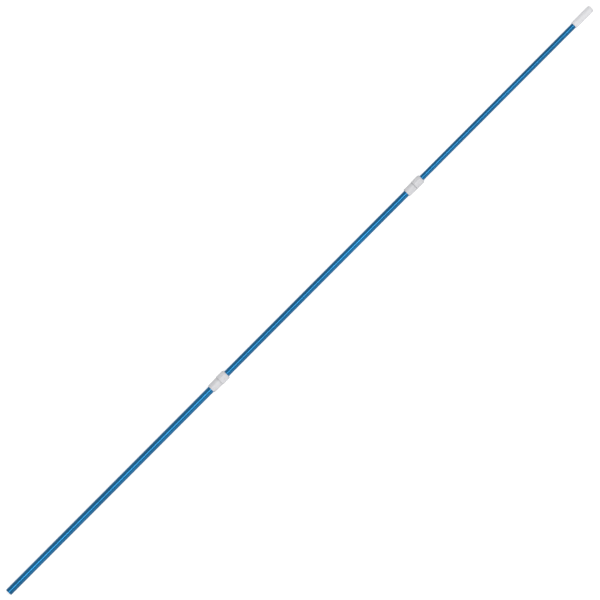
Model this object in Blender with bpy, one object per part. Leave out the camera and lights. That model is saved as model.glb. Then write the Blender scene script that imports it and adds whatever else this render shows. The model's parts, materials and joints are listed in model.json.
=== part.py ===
"""Telescopic deck pole: three aluminium tubes, two twist locks and a closed hand grip.

The pole lies along X, with its open tool end at -X and its grip at +X. The origin is under the
pole's middle, on the surface that the pole lies on. A station is a distance along the pole from
its open end. Sizes are in metres.
"""

import math
from dataclasses import dataclass

import bmesh
import bpy
from mathutils import Matrix

# Tubes
OUTER_TUBE_DIAMETER = 0.0320
OUTER_TUBE_WALL = 0.0011
OUTER_TUBE_LENGTH = 1.2640
MIDDLE_TUBE_WALL = 0.0010
MIDDLE_TUBE_LENGTH = 1.2655
INNER_TUBE_WALL = 0.0010
INNER_TUBE_LENGTH = 1.1565
TUBE_END_CHAMFER = 0.0003

# How far each tube stays inside the one that carries it when the pole is pulled out
MIDDLE_TUBE_OVERLAP = 0.0780
INNER_TUBE_OVERLAP = 0.0780

# Clearances, each on one side
FIT_CLEARANCE = 0.0003
MIDDLE_SLIDE_CLEARANCE = 0.0004
INNER_SLIDE_CLEARANCE = 0.0010
NUT_NOSE_CLEARANCE = 0.0006

# Twist locks
TUBE_SEAT_DEPTH = 0.0330
LOCK_1_BODY_LENGTH = 0.0500
LOCK_1_BODY_WALL = 0.00435
LOCK_1_NUT_LENGTH = 0.0410
LOCK_1_NUT_WALL = 0.00385
LOCK_1_SEAL_THICKNESS = 0.0009
LOCK_2_BODY_LENGTH = 0.0435
LOCK_2_BODY_WALL = 0.0048
LOCK_2_NUT_LENGTH = 0.0430
LOCK_2_NUT_WALL = 0.0037
LOCK_2_SEAL_THICKNESS = 0.0024
BODY_FOOT_CHAMFER = 0.0012
BODY_TOP_CHAMFER = 0.0005
SPIGOT_WALL = 0.0015
TAPER_LENGTH = 0.0120
TAPER_RISE = 0.0012
COLLET_NOSE_WALL = 0.0012
COLLET_HEAD_THICKNESS = 0.0035
COLLET_HEAD_GAP = 0.0008
COLLET_SLOTS = 6
COLLET_SLOT_WIDTH = 0.0014
WASHER_THICKNESS = 0.0015
NUT_NOSE_THICKNESS = 0.0064
NUT_TAPER_LENGTH = 0.0080
NUT_TAPER_DEPTH = 0.0034
NUT_BROW_LENGTH = 0.0027
NUT_BROW_DEPTH = 0.0011
NUT_FOOT_CHAMFER = 0.0008
NUT_FLUTE_DEPTH = 0.0008
PIN_DIAMETER = 0.0040
PIN_END_CHAMFER = 0.0004

# Guide bushes at the lower ends of the two sliding tubes
BUSH_FLANGE_THICKNESS = 0.0060
BUSH_SPIGOT_LENGTH = 0.0160
BUSH_WALL = 0.0025
BUSH_WEB_THICKNESS = 0.0030
BUSH_VENT_DIAMETER = 0.0030

# Grip, and the plug that closes the tube under it
GRIP_WALL = 0.00345
GRIP_END_THICKNESS = 0.0062
GRIP_TUBE_DEPTH = 0.0960
GRIP_CORNER_RADIUS = 0.0070
GRIP_MOUTH_CHAMFER = 0.0008
PLUG_FLANGE_THICKNESS = 0.0022
PLUG_SPIGOT_LENGTH = 0.0160
PLUG_WALL = 0.0020

# Cross holes that a clip-on tool snaps into, near the open end
TOOL_HOLE_DIAMETER = 0.0070
TOOL_HOLE_STATION = 0.0320

# Facets round a turned piece. A nut has one flute for every four facets.
TURN_STEPS = 32
NUT_FLUTES = 12
FLUTE_PERIOD = 4
NUT_STEPS = NUT_FLUTES * FLUTE_PERIOD
HOLE_STEPS = 16
CORNER_STEPS = 5
SHARP_ANGLE_DEG = 30
CUTTER_MARGIN = 0.0020
WELD_DISTANCE = 1e-6


@dataclass
class Tube:
    """One section of the pole. Its start is a station."""

    radius: float
    wall: float
    length: float
    start: float

    @property
    def bore(self):
        return self.radius - self.wall

    @property
    def end(self):
        return self.start + self.length


OUTER_TUBE = Tube(OUTER_TUBE_DIAMETER / 2, OUTER_TUBE_WALL, OUTER_TUBE_LENGTH, 0.0)
MIDDLE_TUBE = Tube(
    OUTER_TUBE.bore - MIDDLE_SLIDE_CLEARANCE,
    MIDDLE_TUBE_WALL,
    MIDDLE_TUBE_LENGTH,
    OUTER_TUBE.end - MIDDLE_TUBE_OVERLAP,
)
INNER_TUBE = Tube(
    MIDDLE_TUBE.bore - INNER_SLIDE_CLEARANCE,
    INNER_TUBE_WALL,
    INNER_TUBE_LENGTH,
    MIDDLE_TUBE.end - INNER_TUBE_OVERLAP,
)


@dataclass
class Lock:
    """A twist lock, fixed on the end of its carrier tube and gripping its slider tube.

    Its length properties run from the lock body's lower end.
    """

    name: str
    carrier: Tube
    slider: Tube
    body_length: float
    body_wall: float
    nut_length: float
    nut_wall: float
    seal_thickness: float

    @property
    def start(self):
        return self.carrier.end - TUBE_SEAT_DEPTH

    @property
    def body_radius(self):
        return self.carrier.radius + FIT_CLEARANCE + self.body_wall

    @property
    def throat(self):
        """The bore that clears the slider tube, in the body, the collet and the washer."""
        return self.slider.radius + FIT_CLEARANCE

    @property
    def taper_small(self):
        return self.throat + COLLET_NOSE_WALL + FIT_CLEARANCE

    @property
    def taper_large(self):
        return self.taper_small + TAPER_RISE

    @property
    def spigot_radius(self):
        return self.taper_large + SPIGOT_WALL

    @property
    def nut_radius(self):
        return self.spigot_radius + FIT_CLEARANCE + self.nut_wall

    @property
    def nut_start(self):
        return self.body_length + self.seal_thickness + 2 * FIT_CLEARANCE

    @property
    def nut_end(self):
        return self.nut_start + self.nut_length

    @property
    def nut_shoulder(self):
        return self.nut_end - NUT_NOSE_THICKNESS

    @property
    def washer_start(self):
        return self.nut_shoulder - FIT_CLEARANCE - WASHER_THICKNESS

    @property
    def collet_end(self):
        return self.washer_start - FIT_CLEARANCE

    @property
    def spigot_end(self):
        return self.collet_end - COLLET_HEAD_THICKNESS - COLLET_HEAD_GAP

    @property
    def taper_start(self):
        return self.spigot_end - TAPER_LENGTH


LOCK_1 = Lock(
    "lock_1",
    OUTER_TUBE,
    MIDDLE_TUBE,
    LOCK_1_BODY_LENGTH,
    LOCK_1_BODY_WALL,
    LOCK_1_NUT_LENGTH,
    LOCK_1_NUT_WALL,
    LOCK_1_SEAL_THICKNESS,
)
LOCK_2 = Lock(
    "lock_2",
    MIDDLE_TUBE,
    INNER_TUBE,
    LOCK_2_BODY_LENGTH,
    LOCK_2_BODY_WALL,
    LOCK_2_NUT_LENGTH,
    LOCK_2_NUT_WALL,
    LOCK_2_SEAL_THICKNESS,
)

PLUG_FLANGE_START = INNER_TUBE.end + FIT_CLEARANCE
GRIP_BORE_END = PLUG_FLANGE_START + PLUG_FLANGE_THICKNESS + FIT_CLEARANCE
GRIP_START = INNER_TUBE.end - GRIP_TUBE_DEPTH
GRIP_RADIUS = INNER_TUBE.radius + FIT_CLEARANCE + GRIP_WALL
POLE_LENGTH = GRIP_BORE_END + GRIP_END_THICKNESS

# The pole lies on two lands of its widest nut, with a flute between them at the bottom. The
# nearest corners of those lands are one and a half facets from straight down.
RIB_TURN = 1.5 * math.tau / NUT_STEPS
AXIS_HEIGHT = max(LOCK_1.nut_radius, LOCK_2.nut_radius) * math.cos(RIB_TURN)


def clear_scene():
    for item in list(bpy.data.objects):
        bpy.data.objects.remove(item, do_unlink=True)


def linear_colour(hex_colour):
    """A hex sRGB colour as linear red, green, blue and alpha."""
    levels = [int(hex_colour[place : place + 2], 16) / 255 for place in (1, 3, 5)]
    levels = [
        level / 12.92 if level <= 0.04045 else ((level + 0.055) / 1.055) ** 2.4 for level in levels
    ]
    return (*levels, 1.0)


def finish(name, hex_colour, metallic, roughness):
    material = bpy.data.materials.new(name)
    material.use_nodes = True
    shader = material.node_tree.nodes["Principled BSDF"]
    shader.inputs["Base Color"].default_value = linear_colour(hex_colour)
    shader.inputs["Metallic"].default_value = metallic
    shader.inputs["Roughness"].default_value = roughness
    return material


def place(item, station, parent):
    """Puts an object on the pole's axis at a station, under its parent."""
    item["station"] = station
    item.parent = parent
    if parent is None:
        item.location = (station - POLE_LENGTH / 2, 0.0, AXIS_HEIGHT)
    else:
        item.location = (station - parent["station"], 0.0, 0.0)


def section(name, station, parent=None):
    """An empty that carries the pieces of one moving body."""
    empty = bpy.data.objects.new(name, None)
    bpy.context.scene.collection.objects.link(empty)
    place(empty, station, parent)
    return empty


def add_piece(name, mesh, material, station, parent):
    """Turns a bmesh into a smooth-shaded object on the pole's axis."""
    data = bpy.data.meshes.new(name)
    mesh.to_mesh(data)
    mesh.free()
    data.shade_smooth()
    data.set_sharp_from_angle(angle=math.radians(SHARP_ANGLE_DEG))
    data.materials.append(material)
    item = bpy.data.objects.new(name, data)
    bpy.context.scene.collection.objects.link(item)
    place(item, station, parent)
    return item


def turned(profile, steps=TURN_STEPS):
    """A solid of revolution about X, from (x, radius) points.

    A profile that starts and ends on the axis makes a solid piece, and any other is closed into
    a ring. Half a step of turn brings a flat facet to the bottom.
    """
    half_step = math.pi / steps
    mesh = bmesh.new()
    points = [
        mesh.verts.new((x, radius * math.sin(half_step), radius * math.cos(half_step)))
        for x, radius in profile
    ]
    edges = [mesh.edges.new(pair) for pair in zip(points, points[1:])]
    if profile[0][1] > 0:
        edges.append(mesh.edges.new((points[-1], points[0])))
    bmesh.ops.spin(
        mesh,
        geom=points + edges,
        cent=(0, 0, 0),
        axis=(1, 0, 0),
        angle=math.tau,
        steps=steps,
        use_merge=True,
    )
    bmesh.ops.remove_doubles(mesh, verts=mesh.verts[:], dist=WELD_DISTANCE)
    bmesh.ops.recalc_face_normals(mesh, faces=mesh.faces[:])
    return mesh


def arc(centre_x, centre_radius, radius, start_deg, end_deg, steps):
    """Profile points round an arc, where 0 degrees is along X and 90 degrees is outwards."""
    angles = [start_deg + (end_deg - start_deg) * step / steps for step in range(steps + 1)]
    return [
        (
            centre_x + radius * math.cos(math.radians(angle)),
            centre_radius + radius * math.sin(math.radians(angle)),
        )
        for angle in angles
    ]


def hide_cutter(cutter):
    cutter.hide_render = True
    cutter.display_type = "WIRE"


def cut(item, cutter):
    modifier = item.modifiers.new("Cut", "BOOLEAN")
    modifier.operation = "DIFFERENCE"
    modifier.object = cutter


def cross_hole_cutter(name, radius, station, parent, inner_end, outer_end):
    """Two round cutters on the left and right of the pole's axis, each along Y."""
    mesh = bmesh.new()
    for side in (-1, 1):
        made = bmesh.ops.create_cone(
            mesh,
            cap_ends=True,
            segments=HOLE_STEPS,
            radius1=radius,
            radius2=radius,
            depth=outer_end - inner_end,
        )
        along_y = Matrix.Rotation(math.pi / 2, 3, "X")
        bmesh.ops.rotate(mesh, verts=made["verts"], matrix=along_y)
        middle = side * (inner_end + outer_end) / 2
        bmesh.ops.translate(mesh, verts=made["verts"], vec=(0, middle, 0))
    cutter = add_piece(name, mesh, MOULDED_WHITE, station, parent)
    hide_cutter(cutter)
    return cutter


def make_tube(name, tube, parent):
    chamfer = TUBE_END_CHAMFER
    profile = [
        (0, tube.bore),
        (0, tube.radius - chamfer),
        (chamfer, tube.radius),
        (tube.length - chamfer, tube.radius),
        (tube.length, tube.radius - chamfer),
        (tube.length, tube.bore),
    ]
    return add_piece(name, turned(profile), BLUE_ANODISED, tube.start, parent)


def make_lock_body(lock, parent):
    """The sleeve: a seat for the carrier tube, a throat, and a spigot with a tapered mouth."""
    seat_radius = lock.carrier.radius + FIT_CLEARANCE
    seat_end = TUBE_SEAT_DEPTH + FIT_CLEARANCE
    profile = [
        (0, lock.body_radius - BODY_FOOT_CHAMFER),
        (BODY_FOOT_CHAMFER, lock.body_radius),
        (lock.body_length - BODY_TOP_CHAMFER, lock.body_radius),
        (lock.body_length, lock.body_radius - BODY_TOP_CHAMFER),
        (lock.body_length, lock.spigot_radius),
        (lock.spigot_end, lock.spigot_radius),
        (lock.spigot_end, lock.taper_large),
        (lock.taper_start, lock.taper_small),
        (lock.taper_start, lock.throat),
        (seat_end, lock.throat),
        (seat_end, seat_radius),
        (0, seat_radius),
    ]
    name = lock.name + "_body"
    return add_piece(name, turned(profile), MOULDED_WHITE, lock.start, parent)


def make_seal_ring(lock, parent):
    """A rubber ring round the foot of the spigot, as wide as the body's flat top."""
    outer = lock.body_radius - BODY_TOP_CHAMFER
    bore = lock.spigot_radius + FIT_CLEARANCE
    profile = [
        (0, bore),
        (0, outer),
        (lock.seal_thickness, outer),
        (lock.seal_thickness, bore),
    ]
    station = lock.start + lock.body_length + FIT_CLEARANCE
    return add_piece(lock.name + "_seal_ring", turned(profile), DARK_RUBBER, station, parent)


def make_collet(lock, parent):
    """A split wedge: six fingers that fill the body's tapered mouth, joined by a round head."""
    taper_length = TAPER_LENGTH - FIT_CLEARANCE
    head_start = TAPER_LENGTH - FIT_CLEARANCE + COLLET_HEAD_GAP
    head_end = head_start + COLLET_HEAD_THICKNESS
    small = lock.taper_small - FIT_CLEARANCE
    large = lock.taper_large - FIT_CLEARANCE
    profile = [
        (0, lock.throat),
        (0, small),
        (taper_length, large),
        (head_start, large),
        (head_start, lock.spigot_radius),
        (head_end, lock.spigot_radius),
        (head_end, lock.throat),
    ]
    name = lock.name + "_collet"
    station = lock.start + lock.taper_start + FIT_CLEARANCE
    collet = add_piece(name, turned(profile), NATURAL_ACETAL, station, parent)
    slots = collet_slot_cutter(lock, taper_length, station, parent)
    cut(collet, slots)
    return collet


def collet_slot_cutter(lock, slot_end, station, parent):
    """One thin box for each slot, from below the nose to just under the head."""
    mesh = bmesh.new()
    inner = lock.throat - CUTTER_MARGIN
    outer = lock.spigot_radius
    size = (slot_end + CUTTER_MARGIN, COLLET_SLOT_WIDTH, outer - inner)
    centre = ((slot_end - CUTTER_MARGIN) / 2, 0, (inner + outer) / 2)
    for slot in range(COLLET_SLOTS):
        made = bmesh.ops.create_cube(mesh, size=1)
        turn = Matrix.Rotation(math.tau * slot / COLLET_SLOTS, 3, "X")
        bmesh.ops.scale(mesh, verts=made["verts"], vec=size)
        bmesh.ops.translate(mesh, verts=made["verts"], vec=centre)
        bmesh.ops.rotate(mesh, verts=made["verts"], matrix=turn)
    cutter = add_piece(lock.name + "_slot_cutter", mesh, NATURAL_ACETAL, station, parent)
    hide_cutter(cutter)
    return cutter


def make_washer(lock, parent):
    profile = [
        (0, lock.throat),
        (0, lock.spigot_radius),
        (WASHER_THICKNESS, lock.spigot_radius),
        (WASHER_THICKNESS, lock.throat),
    ]
    station = lock.start + lock.washer_start
    return add_piece(lock.name + "_washer", turned(profile), NATURAL_ACETAL, station, parent)


def make_nut(lock, parent):
    """The twist nut: a bore over the spigot, a shoulder over the washer and a tapered nose."""
    length = lock.nut_length
    radius = lock.nut_radius
    bore = lock.spigot_radius + FIT_CLEARANCE
    nose_bore = lock.slider.radius + NUT_NOSE_CLEARANCE
    shoulder = lock.nut_shoulder - lock.nut_start
    profile = [
        (0, radius - NUT_FOOT_CHAMFER),
        (NUT_FOOT_CHAMFER, radius),
        (length - NUT_TAPER_LENGTH, radius),
        (length - NUT_BROW_LENGTH, radius - NUT_BROW_DEPTH),
        (length, radius - NUT_TAPER_DEPTH),
        (length, nose_bore),
        (shoulder, nose_bore),
        (shoulder, bore),
        (0, bore),
    ]
    mesh = turned(profile, NUT_STEPS)
    press_flutes(mesh, radius)
    station = lock.start + lock.nut_start
    return add_piece(lock.name + "_nut", mesh, MOULDED_WHITE, station, parent)


def press_flutes(mesh, radius):
    """Sinks two of every four facet corners round a nut, so that a flute lies at the bottom.

    The flutes fade into the chamfers at both ends of the nut.
    """
    for vert in mesh.verts:
        reach = math.hypot(vert.co.y, vert.co.z)
        corner = round(math.atan2(vert.co.y, vert.co.z) / math.tau * NUT_STEPS - 0.5)
        if abs(reach - radius) < WELD_DISTANCE and corner % FLUTE_PERIOD in (0, FLUTE_PERIOD - 1):
            vert.co.y *= 1 - NUT_FLUTE_DEPTH / reach
            vert.co.z *= 1 - NUT_FLUTE_DEPTH / reach


def make_pins(lock, parent):
    """Two pins, left and right, through the sleeve and the wall of its carrier tube."""
    inner_end = lock.carrier.bore + PIN_END_CHAMFER
    outer_end = lock.body_radius - PIN_END_CHAMFER
    length = outer_end - inner_end
    radius = PIN_DIAMETER / 2
    profile = [
        (0, 0),
        (0, radius - PIN_END_CHAMFER),
        (PIN_END_CHAMFER, radius),
        (length - PIN_END_CHAMFER, radius),
        (length, radius - PIN_END_CHAMFER),
        (length, 0),
    ]
    station = lock.start + TUBE_SEAT_DEPTH / 2
    for side, turn in (("left", 90), ("right", -90)):
        name = f"{lock.name}_pin_{side}"
        pin = add_piece(name, turned(profile, HOLE_STEPS), STEEL, station, parent)
        pin.rotation_euler.z = math.radians(turn)
        pin.location.y = math.copysign(inner_end, turn)


def drill_pin_holes(lock, body, tube, parent):
    cutter = cross_hole_cutter(
        lock.name + "_pin_hole_cutter",
        PIN_DIAMETER / 2 + FIT_CLEARANCE,
        lock.start + TUBE_SEAT_DEPTH / 2,
        parent,
        lock.carrier.bore - CUTTER_MARGIN,
        lock.body_radius + CUTTER_MARGIN,
    )
    cut(body, cutter)
    cut(tube, cutter)


def make_lock(lock, carrier_piece, parent):
    body = make_lock_body(lock, parent)
    make_seal_ring(lock, parent)
    make_pins(lock, parent)
    drill_pin_holes(lock, body, carrier_piece, parent)
    wedge = section(lock.name + "_wedge_section", lock.start + lock.taper_start, parent)
    make_collet(lock, wedge)
    make_washer(lock, wedge)
    turning = section(lock.name + "_nut_section", lock.start + lock.nut_start, wedge)
    make_nut(lock, turning)


def make_guide_bush(name, tube, carrier, parent):
    """A vented cup: its flange runs in the carrier tube and its rim fills the tube's lower end."""
    flange_radius = carrier.bore - FIT_CLEARANCE
    spigot_radius = tube.bore - FIT_CLEARANCE
    bore = spigot_radius - BUSH_WALL
    flange_end = BUSH_FLANGE_THICKNESS
    spigot_end = flange_end + FIT_CLEARANCE + BUSH_SPIGOT_LENGTH
    vent = BUSH_VENT_DIAMETER / 2
    profile = [
        (0, vent),
        (0, flange_radius - TUBE_END_CHAMFER),
        (TUBE_END_CHAMFER, flange_radius),
        (flange_end, flange_radius),
        (flange_end, spigot_radius),
        (spigot_end, spigot_radius),
        (spigot_end, bore),
        (BUSH_WEB_THICKNESS, bore),
        (BUSH_WEB_THICKNESS, vent),
    ]
    station = tube.start - FIT_CLEARANCE - BUSH_FLANGE_THICKNESS
    return add_piece(name, turned(profile), NATURAL_ACETAL, station, parent)


def make_end_plug(parent):
    """A cup that closes the inner tube's upper end. Its open side faces down the tube."""
    spigot_radius = INNER_TUBE.bore - FIT_CLEARANCE
    flange_start = PLUG_SPIGOT_LENGTH + FIT_CLEARANCE
    flange_end = flange_start + PLUG_FLANGE_THICKNESS
    profile = [
        (flange_start, 0),
        (flange_start, spigot_radius - PLUG_WALL),
        (0, spigot_radius - PLUG_WALL),
        (0, spigot_radius),
        (flange_start, spigot_radius),
        (flange_start, INNER_TUBE.radius),
        (flange_end, INNER_TUBE.radius),
        (flange_end, 0),
    ]
    station = PLUG_FLANGE_START - flange_start
    return add_piece("end_plug", turned(profile), NATURAL_ACETAL, station, parent)


def make_hand_grip(parent):
    length = POLE_LENGTH - GRIP_START
    bore = INNER_TUBE.radius + FIT_CLEARANCE
    bore_end = GRIP_BORE_END - GRIP_START
    corner = arc(
        length - GRIP_CORNER_RADIUS,
        GRIP_RADIUS - GRIP_CORNER_RADIUS,
        GRIP_CORNER_RADIUS,
        90,
        0,
        CORNER_STEPS,
    )
    profile = [
        (bore_end, 0),
        (bore_end, bore),
        (0, bore),
        (0, GRIP_RADIUS - GRIP_MOUTH_CHAMFER),
        (GRIP_MOUTH_CHAMFER, GRIP_RADIUS),
        *corner,
        (length, 0),
    ]
    return add_piece("hand_grip", turned(profile), GRIP_WHITE, GRIP_START, parent)


clear_scene()
BLUE_ANODISED = finish("blue_anodised_aluminium", "#1C6CA6", 0.9, 0.35)
MOULDED_WHITE = finish("white_moulded_plastic", "#D9D9DC", 0.0, 0.45)
GRIP_WHITE = finish("white_grip_vinyl", "#E2E2E5", 0.0, 0.5)
NATURAL_ACETAL = finish("natural_acetal", "#E9E6DC", 0.0, 0.4)
DARK_RUBBER = finish("dark_rubber", "#2B2B2E", 0.0, 0.8)
STEEL = finish("stainless_steel", "#C3C5C8", 1.0, 0.3)

outer_section = section("outer_section", OUTER_TUBE.start)
outer_tube = make_tube("outer_tube", OUTER_TUBE, outer_section)
tool_holes = cross_hole_cutter(
    "tool_hole_cutter",
    TOOL_HOLE_DIAMETER / 2,
    TOOL_HOLE_STATION,
    outer_section,
    OUTER_TUBE.bore - CUTTER_MARGIN,
    OUTER_TUBE.radius + CUTTER_MARGIN,
)
cut(outer_tube, tool_holes)
make_lock(LOCK_1, outer_tube, outer_section)

middle_slide = section("middle_slide_section", MIDDLE_TUBE.start, outer_section)
make_guide_bush("middle_guide_bush", MIDDLE_TUBE, OUTER_TUBE, middle_slide)
middle_section = section("middle_section", MIDDLE_TUBE.start, middle_slide)
middle_tube = make_tube("middle_tube", MIDDLE_TUBE, middle_section)
make_lock(LOCK_2, middle_tube, middle_section)

inner_slide = section("inner_slide_section", INNER_TUBE.start, middle_section)
make_guide_bush("inner_guide_bush", INNER_TUBE, MIDDLE_TUBE, inner_slide)
inner_section = section("inner_section", INNER_TUBE.start, inner_slide)
make_tube("inner_tube", INNER_TUBE, inner_section)
make_end_plug(inner_section)
make_hand_grip(inner_section)
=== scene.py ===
"""Looks for the telescopic deck pole: anodised tubes, moulded twist locks and a vinyl hand grip.

Sizes are in metres. Each new piece is worked out from the boxes of the frame's own nodes, so it
lies where the frame's piece lies.
"""

import json
import math

import bmesh
import bpy
from mathutils import Matrix, Vector


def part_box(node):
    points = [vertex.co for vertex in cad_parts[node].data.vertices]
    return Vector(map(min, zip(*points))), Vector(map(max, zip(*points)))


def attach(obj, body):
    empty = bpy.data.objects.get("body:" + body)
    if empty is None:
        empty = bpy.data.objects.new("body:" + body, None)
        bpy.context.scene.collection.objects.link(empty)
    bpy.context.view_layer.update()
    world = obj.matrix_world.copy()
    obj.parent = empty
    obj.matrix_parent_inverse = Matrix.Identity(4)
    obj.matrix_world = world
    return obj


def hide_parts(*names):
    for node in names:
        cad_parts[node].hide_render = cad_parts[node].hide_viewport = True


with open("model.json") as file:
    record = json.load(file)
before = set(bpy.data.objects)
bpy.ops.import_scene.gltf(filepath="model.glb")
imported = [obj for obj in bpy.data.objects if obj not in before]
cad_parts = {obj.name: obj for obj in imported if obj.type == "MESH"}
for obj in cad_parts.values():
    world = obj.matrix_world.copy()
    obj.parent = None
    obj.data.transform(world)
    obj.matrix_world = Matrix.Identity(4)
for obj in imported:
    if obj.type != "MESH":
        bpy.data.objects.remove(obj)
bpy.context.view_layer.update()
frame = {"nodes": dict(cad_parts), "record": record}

# The frame's tubes, sleeves and rings have this many flats. A nut's box ends on the corners of
# two lands, which lie this far round from the middle of the box's side.
FRAME_FLATS = 32
NUT_FLUTES = 12
NUT_BOX_ANGLE = math.pi / 16
FIT = 0.0003

# Fineness of the new pieces
TURN_STEPS = 128
NUT_STEPS = 192
ROUND_STEPS = 8
HOLE_STEPS = 48
SHARP_ANGLE_DEG = 38
WELD_DISTANCE = 1e-6

# Details that the frame leaves plain
TUBE_EDGE_ROUND = 0.00035
TUBE_WALL = 0.0011
TOOL_HOLE_RADIUS = 0.0035
TOOL_HOLE_STATION = 0.0320
HOLE_MARGIN = 0.0050
DRILL_LENGTH = 0.0600
END_FACE_SLOPE = 0.7
SLEEVE_EDGE_ROUND = 0.0009
SLEEVE_BEAD_LENGTH = 0.0034
SLEEVE_GROOVE_WIDTH = 0.0010
SLEEVE_GROOVE_DEPTH = 0.0005
SEAT_EDGE_ROUND = 0.0003
MOUTH_WALL = 0.0015
MOUTH_EDGE_ROUND = 0.0002
THREAD_PITCH = 0.0030
THREAD_DEPTH = 0.0006
# Where a ridge's flank ends, its other flank starts and ends, as parts of a pitch
THREAD_RISE = 0.3
THREAD_FALL = 0.5
THREAD_FOOT = 0.8
NUT_EDGE_ROUND = 0.0009
NUT_BORE_ROUND = 0.0004
NUT_TAPER_LENGTH = 0.0080
NUT_TAPER_DEPTH = 0.0034
NUT_FLUTE_DEPTH = 0.0009
NUT_FLUTE_FADE = 0.0035
NUT_FLUTE_RINGS = 7
NUT_FLUTE_SPREAD = 0.35
GRIP_CORNER_ROUND = 0.0070
GRIP_MOUTH_ROUND = 0.0012
GRIP_BORE_ROUND = 0.0005
GRIP_RIM_LENGTH = 0.0040
GRIP_RIM_STEP = 0.0004
PIN_HEAD_ROUND = 0.0009
PIN_FOOT_WEAR = 0.2
RING_EDGE_ROUND = 0.0004

# Camera: straight above the pole, turned so that the pole runs up to the right
POLE_TILT_DEG = 45.085
VIEW_WIDTH = 2.5741
CAMERA_LENS = 200
CAMERA_SENSOR = 36
CAMERA_OFFSET_RIGHT = 0.0004
CAMERA_OFFSET_UP = 0.0010

OUTER_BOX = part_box("outer_tube")
AXIS_HEIGHT = (OUTER_BOX[0][2] + OUTER_BOX[1][2]) / 2


# ---------------------------------------------------------------- materials


def linear(hex_colour):
    """A hex sRGB colour as linear red, green, blue and alpha."""
    levels = [int(hex_colour[place : place + 2], 16) / 255 for place in (1, 3, 5)]
    return (
        *(v / 12.92 if v <= 0.04045 else ((v + 0.055) / 1.055) ** 2.4 for v in levels),
        1.0,
    )


def add(tree, kind, settings=None, links=None):
    """Adds a node. Settings are its properties and input values, and links feed its inputs."""
    node = tree.nodes.new(kind)
    for key, value in (settings or {}).items():
        if isinstance(key, str) and hasattr(node, key):
            setattr(node, key, value)
        else:
            node.inputs[key].default_value = value
    for key, source in (links or {}).items():
        tree.links.new(source, node.inputs[key])
    return node


def new_material(name, metallic=0.0, **layers):
    """A material with an empty Principled shader: (material, tree, shader, object coordinates)."""
    material = bpy.data.materials.new(name)
    material.use_nodes = True
    tree = material.node_tree
    shader = tree.nodes["Principled BSDF"]
    shader.inputs["Metallic"].default_value = metallic
    for key, value in layers.items():
        shader.inputs[key.replace("_", " ")].default_value = value
    place = tree.nodes.new("ShaderNodeTexCoord").outputs["Object"]
    return material, tree, shader, place


def stretched_noise(tree, place, grain, detail=3.0):
    """Noise whose grain is that many metres along X, Y and Z."""
    mapping = add(
        tree,
        "ShaderNodeMapping",
        {"Scale": [1 / size for size in grain], "Location": (0.0, 0.0, -AXIS_HEIGHT / grain[2])},
        {"Vector": place},
    )
    noise = add(
        tree,
        "ShaderNodeTexNoise",
        {"Scale": 1.0, "Detail": detail},
        {"Vector": mapping.outputs[0]},
    )
    return noise.outputs["Fac"]


def between(tree, factor, low, high):
    """A number that runs from low to high as the factor runs over the middle of its range."""
    return add(
        tree,
        "ShaderNodeMapRange",
        {"From Min": 0.3, "From Max": 0.7, "To Min": low, "To Max": high},
        {"Value": factor},
    ).outputs[0]


def shades(tree, factor, *stops):
    """A colour ramp through (position, hex colour) stops."""
    ramp = add(tree, "ShaderNodeValToRGB", links={"Fac": factor})
    elements = ramp.color_ramp.elements
    for element, (position, colour) in zip(elements, stops):
        element.position = position
        element.color = linear(colour)
    for position, colour in stops[2:]:
        elements.new(position).color = linear(colour)
    return ramp.outputs["Color"]


def bump(tree, shader, heights, distance, strength=1.0):
    node = add(
        tree,
        "ShaderNodeBump",
        {"Distance": distance, "Strength": strength},
        {"Height": heights},
    )
    tree.links.new(node.outputs[0], shader.inputs["Normal"])


def plus(tree, first, second, weight):
    """First plus weight times second."""
    return add(
        tree,
        "ShaderNodeMath",
        {"operation": "MULTIPLY_ADD", 1: weight},
        {0: second, 2: first},
    ).outputs[0]


def dyed_anodised_aluminium():
    """Drawn aluminium tube with a dyed, sealed oxide skin.

    The dye tints the metal's own reflection. Drawing leaves hair-fine lines along the tube, and
    the oxide adds a thin clear gloss. The real lines are about 0.1 mm apart and are drawn at
    0.4 mm, so that they show.
    """
    material, tree, shader, place = new_material(
        "dyed_anodised_aluminium", 1.0, Coat_Weight=0.12, Coat_Roughness=0.22, Coat_IOR=1.6
    )
    lines = stretched_noise(tree, place, (0.350, 0.0004, 0.0004), 2.0)
    cloud = stretched_noise(tree, place, (0.220, 0.060, 0.060), 2.0)
    rubs = stretched_noise(tree, place, (0.012, 0.004, 0.004), 4.0)
    tone = plus(tree, cloud, lines, 0.35)
    colour = shades(tree, tone, (0.35, "#104E74"), (0.95, "#165F8A"), (0.65, "#13567F"))
    tree.links.new(colour, shader.inputs["Base Color"])
    rough = plus(tree, between(tree, lines, 0.14, 0.20), rubs, 0.06)
    tree.links.new(rough, shader.inputs["Roughness"])
    bump(tree, shader, plus(tree, lines, rubs, 0.4), 0.00004, 0.5)
    return material


def cut_aluminium():
    """Sawn and deburred tube end: bare metal with fine saw lines across it."""
    material, tree, shader, place = new_material("cut_aluminium", 1.0)
    lines = stretched_noise(tree, place, (0.0008, 0.0003, 0.006), 3.0)
    colour = shades(tree, lines, (0.3, "#9AA1A6"), (0.7, "#C9CDD1"))
    tree.links.new(colour, shader.inputs["Base Color"])
    tree.links.new(between(tree, lines, 0.28, 0.42), shader.inputs["Roughness"])
    bump(tree, shader, lines, 0.00005, 0.6)
    return material


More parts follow.
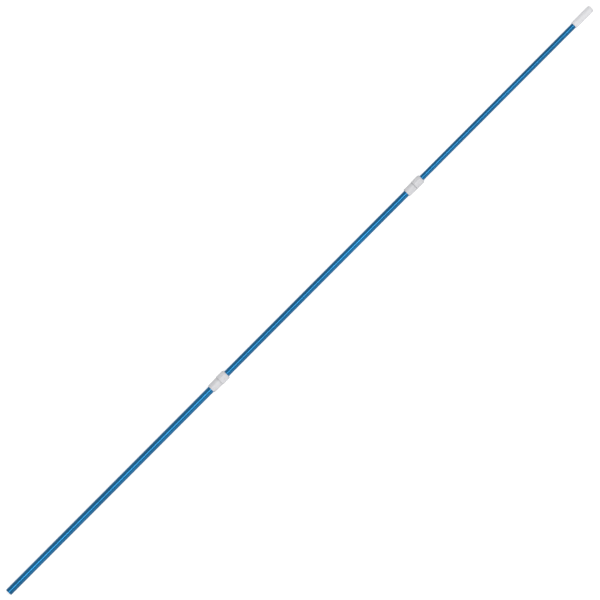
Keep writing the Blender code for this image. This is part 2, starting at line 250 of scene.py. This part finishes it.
def spark_textured_abs():
    """Injection-moulded ABS: a fine spark-eroded texture of about 0.5 mm, and faint flow marks."""
    material, tree, shader, place = new_material("spark_textured_abs")
    flow = stretched_noise(tree, place, (0.030, 0.012, 0.012), 2.0)
    grain = stretched_noise(tree, place, (0.0005, 0.0005, 0.0005), 2.0)
    colour = shades(tree, plus(tree, flow, grain, 0.15), (0.35, "#C8C8CB"), (0.8, "#D1D1D4"))
    tree.links.new(colour, shader.inputs["Base Color"])
    tree.links.new(between(tree, grain, 0.40, 0.52), shader.inputs["Roughness"])
    bump(tree, shader, grain, 0.00006, 0.5)
    return material


def dipped_plastisol_vinyl():
    """Dipped plastisol vinyl: soft, with a slight orange-peel skin of about 2 mm."""
    material, tree, shader, place = new_material(
        "dipped_plastisol_vinyl", Sheen_Weight=0.15, Sheen_Roughness=0.5
    )
    peel = stretched_noise(tree, place, (0.0022, 0.0022, 0.0022), 2.0)
    cloud = stretched_noise(tree, place, (0.050, 0.020, 0.020), 2.0)
    colour = shades(tree, cloud, (0.3, "#DBDBDE"), (0.75, "#E3E3E6"))
    tree.links.new(colour, shader.inputs["Base Color"])
    tree.links.new(between(tree, peel, 0.44, 0.56), shader.inputs["Roughness"])
    bump(tree, shader, peel, 0.00012, 0.5)
    return material


def turned_acetal():
    """Turned acetal: off-white and waxy, with fine tool rings 0.6 mm apart."""
    material, tree, shader, place = new_material("turned_acetal")
    rings = stretched_noise(tree, place, (0.0006, 0.02, 0.02), 1.0)
    colour = shades(tree, rings, (0.3, "#DEDBD0"), (0.7, "#EAE7DD"))
    tree.links.new(colour, shader.inputs["Base Color"])
    tree.links.new(between(tree, rings, 0.34, 0.46), shader.inputs["Roughness"])
    bump(tree, shader, rings, 0.00005, 0.5)
    return material


def grey_rubber():
    """Moulded grey rubber: dull, with a dusty bloom."""
    material, tree, shader, place = new_material("grey_rubber")
    bloom = stretched_noise(tree, place, (0.006, 0.003, 0.003), 3.0)
    colour = shades(tree, bloom, (0.3, "#A0A0A4"), (0.7, "#B2B2B6"))
    tree.links.new(colour, shader.inputs["Base Color"])
    tree.links.new(between(tree, bloom, 0.7, 0.85), shader.inputs["Roughness"])
    bump(tree, shader, bloom, 0.00008, 0.5)
    return material


def pressed_stainless_steel():
    """Headed stainless pin: smooth, with light scuffs from the press tool."""
    material, tree, shader, place = new_material("pressed_stainless_steel", 1.0)
    scuffs = stretched_noise(tree, place, (0.0015, 0.0005, 0.0005), 3.0)
    colour = shades(tree, scuffs, (0.3, "#B4B6B9"), (0.7, "#CBCDD0"))
    tree.links.new(colour, shader.inputs["Base Color"])
    tree.links.new(between(tree, scuffs, 0.2, 0.38), shader.inputs["Roughness"])
    bump(tree, shader, scuffs, 0.00003, 0.5)
    return material


# ---------------------------------------------------------------- mesh tools


def radius_of(node):
    """The round radius of a frame node, whose box is measured from flat to flat."""
    low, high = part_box(node)
    return (high[2] - low[2]) / 2 / math.cos(math.pi / FRAME_FLATS)


def turned(corners, steps=TURN_STEPS):
    """A solid of revolution about X, from corners given as (x, radius, wear).

    Wear is how far from the corner its rounding starts. The profile closes on itself, unless it
    starts on the axis.
    """
    half_step = math.pi / steps
    mesh = bmesh.new()
    verts = [
        mesh.verts.new((x, radius * math.sin(half_step), radius * math.cos(half_step)))
        for x, radius, _ in corners
    ]
    for pair in zip(verts, verts[1:]):
        mesh.edges.new(pair)
    if corners[0][1] > 0:
        mesh.edges.new((verts[-1], verts[0]))
    for wear in sorted({corner[2] for corner in corners if corner[2] > 0}):
        bmesh.ops.bevel(
            mesh,
            geom=[vert for vert, corner in zip(verts, corners) if corner[2] == wear],
            offset=wear,
            offset_type="OFFSET",
            affect="VERTICES",
            segments=ROUND_STEPS,
            profile=0.5,
            material=-1,
        )
    bmesh.ops.spin(
        mesh,
        geom=mesh.verts[:] + mesh.edges[:],
        cent=(0, 0, 0),
        axis=(1, 0, 0),
        angle=math.tau,
        steps=steps,
        use_merge=True,
    )
    bmesh.ops.remove_doubles(mesh, verts=mesh.verts[:], dist=WELD_DISTANCE)
    bmesh.ops.recalc_face_normals(mesh, faces=mesh.faces[:])
    return mesh


def to_object(name, mesh, materials):
    """Moves a piece from the X axis onto the pole's axis, and makes it an object."""
    bmesh.ops.translate(mesh, verts=mesh.verts[:], vec=(0, 0, AXIS_HEIGHT))
    data = bpy.data.meshes.new(name)
    mesh.to_mesh(data)
    mesh.free()
    data.shade_smooth()
    data.set_sharp_from_angle(angle=math.radians(SHARP_ANGLE_DEG))
    for material in materials:
        data.materials.append(material)
    piece = bpy.data.objects.new(name, data)
    bpy.context.scene.collection.objects.link(piece)
    return piece


def drill_across(piece, x, radius):
    """Drills one hole through both walls of a hollow piece, straight across the pole."""
    drill = bmesh.new()
    bmesh.ops.create_cone(
        drill,
        cap_ends=True,
        segments=HOLE_STEPS,
        radius1=radius,
        radius2=radius,
        depth=DRILL_LENGTH,
    )
    level = Matrix.Rotation(math.pi / 2, 3, "X")
    bmesh.ops.rotate(drill, verts=drill.verts[:], matrix=level)
    bmesh.ops.translate(drill, verts=drill.verts[:], vec=(x, 0, 0))
    cutter = to_object("drill", drill, [])
    modifier = piece.modifiers.new("drill", "BOOLEAN")
    modifier.operation = "DIFFERENCE"
    modifier.object = cutter
    graph = bpy.context.evaluated_depsgraph_get()
    drilled = bpy.data.meshes.new_from_object(piece.evaluated_get(graph))
    piece.modifiers.clear()
    piece.data = drilled
    drilled.shade_smooth()
    drilled.set_sharp_from_angle(angle=math.radians(SHARP_ANGLE_DEG))
    bpy.data.objects.remove(cutter, do_unlink=True)


def stand_for(piece, node):
    """The piece takes a frame node's place: it rides on the node's body and hides the node."""
    for body, nodes in frame["record"]["behaviour"]["bodies"].items():
        if node in nodes:
            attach(piece, body)
    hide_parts(node)


def pin_hole(lock):
    """Where the lock's cross pins sit, and the radius of their holes."""
    low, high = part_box(lock + "_pin_left")
    return (low[0] + high[0]) / 2, (high[2] - low[2]) / 2 + FIT


# ---------------------------------------------------------------- pieces


def make_tube(node, holes=()):
    """A drawn tube with holes given as (x, radius).

    Both ends are sawn and deburred, so their end faces are bare metal. A ring of edges on each
    side of a hole keeps its cut off the tube's long faces.
    """
    low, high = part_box(node)
    radius = radius_of(node)
    bore = radius - TUBE_WALL
    rings = [x + side for x, _ in holes for side in (-HOLE_MARGIN, HOLE_MARGIN)]
    corners = [
        (low[0], bore, TUBE_EDGE_ROUND / 2),
        (low[0], radius, TUBE_EDGE_ROUND),
        *[(x, radius, 0) for x in rings],
        (high[0], radius, TUBE_EDGE_ROUND),
        (high[0], bore, TUBE_EDGE_ROUND / 2),
        *[(x, bore, 0) for x in reversed(rings)],
    ]
    mesh = turned(corners)
    for face in mesh.faces:
        at_end = min(abs(vert.co.x - end) for vert in face.verts for end in (low[0], high[0]))
        if abs(face.normal.x) > END_FACE_SLOPE and at_end < TUBE_EDGE_ROUND:
            face.material_index = 1
    tube = to_object(node + "_drawn", mesh, [BLUE, CUT_END])
    for x, hole_radius in holes:
        drill_across(tube, x, hole_radius)
    stand_for(tube, node)


def make_sleeve(lock, tube_node):
    """The lock's body: a sleeve with a groove near each end, and a ridged, threaded spigot."""
    node = lock + "_body"
    low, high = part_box(node)
    radius = radius_of(node)
    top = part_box(lock + "_seal_ring")[0][0] - FIT
    spigot = radius_of(lock + "_washer")
    throat = radius_of(SLIDERS[lock]) + FIT
    seat = radius_of(tube_node) + FIT
    seat_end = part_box(tube_node)[1][0] + FIT
    taper_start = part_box(lock + "_collet")[0][0] - FIT
    foot_groove = low[0] + SLEEVE_BEAD_LENGTH
    top_groove = top - SLEEVE_BEAD_LENGTH - SLEEVE_GROOVE_WIDTH
    pin_x, pin_hole_radius = pin_hole(lock)
    corners = [(low[0], seat, SEAT_EDGE_ROUND), (low[0], radius, SLEEVE_EDGE_ROUND)]
    for start in (foot_groove, top_groove):
        end = start + SLEEVE_GROOVE_WIDTH
        corners += [
            (start, radius, SLEEVE_GROOVE_DEPTH / 3),
            (start + SLEEVE_GROOVE_DEPTH / 2, radius - SLEEVE_GROOVE_DEPTH, 0),
            (end - SLEEVE_GROOVE_DEPTH / 2, radius - SLEEVE_GROOVE_DEPTH, 0),
            (end, radius, SLEEVE_GROOVE_DEPTH / 3),
        ]
        if start == foot_groove:
            corners += [(pin_x - HOLE_MARGIN, radius, 0), (pin_x + HOLE_MARGIN, radius, 0)]
    corners += [(top, radius, SLEEVE_EDGE_ROUND / 2), (top, spigot - THREAD_DEPTH, 0)]
    thread_end = high[0] - THREAD_PITCH
    crests = int((thread_end - top - THREAD_PITCH) / THREAD_PITCH)
    for crest in range(crests):
        root = top + THREAD_PITCH * (crest + 1)
        corners += [
            (root, spigot - THREAD_DEPTH, 0),
            (root + THREAD_RISE * THREAD_PITCH, spigot, 0),
            (root + THREAD_FALL * THREAD_PITCH, spigot, 0),
            (root + THREAD_FOOT * THREAD_PITCH, spigot - THREAD_DEPTH, 0),
        ]
    mouth = spigot - MOUTH_WALL
    corners += [
        (high[0], spigot - THREAD_DEPTH, MOUTH_EDGE_ROUND),
        (high[0], mouth, MOUTH_EDGE_ROUND),
        (taper_start, throat + MOUTH_WALL, 0),
        (taper_start, throat, MOUTH_EDGE_ROUND),
        (seat_end, throat, MOUTH_EDGE_ROUND),
        (seat_end, seat, 0),
        (pin_x + HOLE_MARGIN, seat, 0),
        (pin_x - HOLE_MARGIN, seat, 0),
    ]
    sleeve = to_object(lock + "_sleeve", turned(corners), [PLASTIC])
    drill_across(sleeve, pin_x, pin_hole_radius)
    stand_for(sleeve, node)


def flute_depth(vert, start, end):
    """How deep a nut's flute is at this vertex, from 0 on a land to 1 along a flute's bottom."""
    if not start < vert.co.x < end:
        return 0.0
    fade = min(1.0, (vert.co.x - start) / NUT_FLUTE_FADE, (end - vert.co.x) / NUT_FLUTE_FADE)
    angle = math.atan2(vert.co.y, vert.co.z)
    wave = max(0.0, math.cos(NUT_FLUTES * angle) + NUT_FLUTE_SPREAD)
    wave /= 1 + NUT_FLUTE_SPREAD
    return math.sin(math.pi / 2 * fade) * math.sin(math.pi / 2 * wave)


def make_nut(lock):
    """The twist nut: scalloped finger flutes between a rounded foot and a tapered nose."""
    node = lock + "_nut"
    low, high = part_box(node)
    radius = (high[2] - low[2]) / 2 / math.cos(NUT_BOX_ANGLE)
    bore = radius_of(lock + "_washer") + FIT
    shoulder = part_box(lock + "_washer")[1][0] + FIT
    nose_bore = radius_of(SLIDERS[lock]) + 2 * FIT
    taper = high[0] - NUT_TAPER_LENGTH
    flute_start = low[0] + NUT_EDGE_ROUND
    flute_end = taper + NUT_EDGE_ROUND
    corners = [(low[0], bore, NUT_BORE_ROUND), (low[0], radius, NUT_EDGE_ROUND)]
    for ring in range(1, NUT_FLUTE_RINGS):
        corners.append((flute_start + NUT_FLUTE_FADE * ring / NUT_FLUTE_RINGS, radius, 0))
    for ring in range(NUT_FLUTE_RINGS, 1, -1):
        corners.append((flute_end - NUT_FLUTE_FADE * ring / NUT_FLUTE_RINGS, radius, 0))
    corners += [
        (taper + NUT_EDGE_ROUND, radius, NUT_EDGE_ROUND / 2),
        (high[0] - NUT_TAPER_LENGTH / 3, radius - NUT_TAPER_DEPTH / 3, NUT_EDGE_ROUND),
        (high[0], radius - NUT_TAPER_DEPTH, NUT_EDGE_ROUND),
        (high[0], nose_bore, NUT_BORE_ROUND),
        (shoulder, nose_bore, 0),
        (shoulder, bore, 0),
    ]
    mesh = turned(corners, NUT_STEPS)
    for vert in mesh.verts:
        reach = math.hypot(vert.co.y, vert.co.z)
        if reach > radius - WELD_DISTANCE:
            sink = NUT_FLUTE_DEPTH * flute_depth(vert, flute_start, flute_end)
            vert.co.y *= 1 - sink / reach
            vert.co.z *= 1 - sink / reach
    bmesh.ops.recalc_face_normals(mesh, faces=mesh.faces[:])
    nut = to_object(lock + "_twist_nut", mesh, [PLASTIC])
    stand_for(nut, node)


def make_ring(node, name, material, inner):
    """A plain ring with worn edges, such as a washer or a rubber seal."""
    low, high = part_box(node)
    radius = radius_of(node)
    worn = min(RING_EDGE_ROUND, (high[0] - low[0]) / 3)
    corners = [
        (low[0], inner, worn / 2),
        (low[0], radius, worn),
        (high[0], radius, worn),
        (high[0], inner, worn / 2),
    ]
    ring = to_object(name, turned(corners), [material])
    stand_for(ring, node)


def make_pin(lock, side):
    """A headed pin, pressed in from the side until its domed end is level with the sleeve."""
    node = f"{lock}_pin_{side}"
    low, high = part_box(node)
    x = (low[0] + high[0]) / 2
    radius = (high[2] - low[2]) / 2
    length = high[1] - low[1]
    inner = min(abs(low[1]), abs(high[1]))
    facing = 1 if high[1] > 0 else -1
    corners = [
        (0, 0, 0),
        (0, radius, PIN_FOOT_WEAR * radius),
        (length, radius, PIN_HEAD_ROUND),
        (length, 0, 0),
    ]
    mesh = turned(corners, HOLE_STEPS)
    outwards = Matrix.Rotation(facing * math.pi / 2, 3, "Z")
    bmesh.ops.rotate(mesh, verts=mesh.verts[:], matrix=outwards)
    bmesh.ops.translate(mesh, verts=mesh.verts[:], vec=(x, facing * inner, 0))
    pin = to_object(node + "_headed", mesh, [STEEL])
    stand_for(pin, node)


def make_grip():
    """The closed grip: a rim at its mouth, a long plain barrel and a rounded end."""
    low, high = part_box("hand_grip")
    radius = radius_of("hand_grip")
    bore = radius_of("inner_tube") + FIT
    bore_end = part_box("end_plug")[1][0] + FIT
    rim = low[0] + GRIP_RIM_LENGTH
    corners = [
        (bore_end, 0, 0),
        (bore_end, bore, 0),
        (low[0], bore, GRIP_BORE_ROUND),
        (low[0], radius, GRIP_MOUTH_ROUND),
        (rim, radius, GRIP_RIM_STEP),
        (rim + 2 * GRIP_RIM_STEP, radius - GRIP_RIM_STEP, GRIP_RIM_STEP / 2),
        (rim + 8 * GRIP_RIM_STEP, radius - GRIP_RIM_STEP / 4, 0),
        (high[0], radius - GRIP_RIM_STEP / 4, GRIP_CORNER_ROUND),
        (high[0], 0, 0),
    ]
    grip = to_object("hand_grip_barrel", turned(corners), [VINYL])
    stand_for(grip, "hand_grip")


def finish_hidden_node(node, material):
    """A frame node whose shape is right keeps it, and takes the material."""
    for slot in frame["nodes"][node].material_slots:
        slot.material = material


# ---------------------------------------------------------------- stage


def make_floor():
    """A white sweep that shows brighter than its diffuse light, so that it stays white.

    It keeps the pole's shadow. Far out, where the lamps don't reach, it needs more lift.
    """
    material = bpy.data.materials.new("studio_floor")
    material.use_nodes = True
    tree = material.node_tree
    tree.nodes.clear()
    rays = tree.nodes.new("ShaderNodeLightPath").outputs
    seen = plus(tree, rays["Is Camera Ray"], rays["Is Glossy Ray"], 1.0)
    seen = plus(tree, seen, rays["Is Transmission Ray"], 1.0)
    place = tree.nodes.new("ShaderNodeTexCoord").outputs["Object"]
    reach = add(tree, "ShaderNodeVectorMath", {"operation": "LENGTH"}, {0: place})
    level = add(
        tree,
        "ShaderNodeMapRange",
        {
            "From Min": FLOOR_LIT_RADIUS,
            "From Max": 3 * FLOOR_LIT_RADIUS,
            "To Min": FLOOR_LIFT,
            "To Max": FLOOR_FAR_LIFT,
        },
        {"Value": reach.outputs["Value"]},
    )
    lift = add(
        tree, "ShaderNodeMath", {"operation": "MULTIPLY"}, {0: seen, 1: level.outputs[0]}
    )
    glow = add(tree, "ShaderNodeEmission", links={"Strength": lift.outputs[0]})
    paper = add(tree, "ShaderNodeBsdfDiffuse", {"Color": (0.8, 0.8, 0.8, 1)})
    both = add(tree, "ShaderNodeAddShader")
    tree.links.new(glow.outputs[0], both.inputs[0])
    tree.links.new(paper.outputs[0], both.inputs[1])
    out = tree.nodes.new("ShaderNodeOutputMaterial")
    tree.links.new(both.outputs[0], out.inputs["Surface"])
    mesh = bmesh.new()
    bmesh.ops.create_grid(mesh, x_segments=1, y_segments=1, size=FLOOR_HALF)
    data = bpy.data.meshes.new("floor")
    mesh.to_mesh(data)
    mesh.free()
    data.materials.append(material)
    floor = bpy.data.objects.new("floor", data)
    bpy.context.scene.collection.objects.link(floor)


def make_lamp(name, size_x, size_y, place, strength):
    """A soft rectangular lamp that faces the pole's middle. Its strength is its plain radiance."""
    data = bpy.data.lights.new(name, "AREA")
    data.shape = "RECTANGLE"
    data.size = size_x
    data.size_y = size_y
    data.energy = strength * math.pi * size_x * size_y
    lamp = bpy.data.objects.new(name, data)
    bpy.context.scene.collection.objects.link(lamp)
    lamp.location = place
    facing = Vector((0, 0, 0)) - Vector(place)
    lamp.rotation_euler = facing.to_track_quat("-Z", "Y").to_euler()
    lamp.visible_camera = False


def make_world():
    """A pale room: dim for the soft light it gives, and white where it is seen or reflected."""
    world = bpy.data.worlds.new("studio")
    bpy.context.scene.world = world
    world.use_nodes = True
    tree = world.node_tree
    background = tree.nodes["Background"]
    background.inputs["Color"].default_value = (1, 1, 1, 1)
    rays = tree.nodes.new("ShaderNodeLightPath").outputs
    seen = plus(tree, rays["Is Camera Ray"], rays["Is Glossy Ray"], 1.0)
    seen = plus(tree, seen, rays["Is Transmission Ray"], 1.0)
    level = add(
        tree,
        "ShaderNodeMapRange",
        {"From Min": 0.0, "From Max": 1.0, "To Min": ROOM_LIGHT, "To Max": 1.0},
        {"Value": seen},
    )
    tree.links.new(level.outputs[0], background.inputs["Strength"])


def make_camera():
    data = bpy.data.cameras.new("camera")
    data.lens = CAMERA_LENS
    data.sensor_width = CAMERA_SENSOR
    distance = VIEW_WIDTH * CAMERA_LENS / CAMERA_SENSOR
    data.clip_end = 10 * distance
    camera = bpy.data.objects.new("camera", data)
    bpy.context.scene.collection.objects.link(camera)
    turn = Matrix.Rotation(math.radians(-POLE_TILT_DEG), 3, "Z")
    right, up = turn.col[0], turn.col[1]
    middle = Vector((0, 0, AXIS_HEIGHT))
    offset = CAMERA_OFFSET_RIGHT * right + CAMERA_OFFSET_UP * up
    camera.location = middle + offset + Vector((0, 0, distance))
    camera.rotation_euler = (0, 0, math.radians(-POLE_TILT_DEG))
    bpy.context.scene.camera = camera


FLOOR_HALF = 45
FLOOR_LIFT = 0.42
FLOOR_FAR_LIFT = 0.75
FLOOR_LIT_RADIUS = 2.0
ROOM_LIGHT = 0.42

SLIDERS = {"lock_1": "middle_tube", "lock_2": "inner_tube"}
CARRIERS = {"lock_1": "outer_tube", "lock_2": "middle_tube"}

BLUE = dyed_anodised_aluminium()
CUT_END = cut_aluminium()
PLASTIC = spark_textured_abs()
VINYL = dipped_plastisol_vinyl()
ACETAL = turned_acetal()
RUBBER = grey_rubber()
STEEL = pressed_stainless_steel()

tool_hole = (OUTER_BOX[0][0] + TOOL_HOLE_STATION, TOOL_HOLE_RADIUS)
make_tube("outer_tube", [tool_hole, pin_hole("lock_1")])
make_tube("middle_tube", [pin_hole("lock_2")])
make_tube("inner_tube")
for lock, carrier in CARRIERS.items():
    throat = radius_of(SLIDERS[lock]) + FIT
    make_sleeve(lock, carrier)
    make_nut(lock)
    spigot_clear = radius_of(lock + "_washer") + FIT
    make_ring(lock + "_seal_ring", lock + "_rubber_seal", RUBBER, spigot_clear)
    make_ring(lock + "_washer", lock + "_slip_washer", ACETAL, throat)
    for side in ("left", "right"):
        make_pin(lock, side)
    finish_hidden_node(lock + "_collet", ACETAL)
make_grip()
for node in ("middle_guide_bush", "inner_guide_bush", "end_plug"):
    finish_hidden_node(node, ACETAL)

make_floor()
make_world()
make_camera()
make_lamp("strip", 6.0, 0.9, (0, 0, 4.0), 7.2)
make_lamp("fill", 5.0, 1.2, (0, -3.4, 1.6), 1.6)

bpy.context.scene.view_settings.view_transform = "Standard"
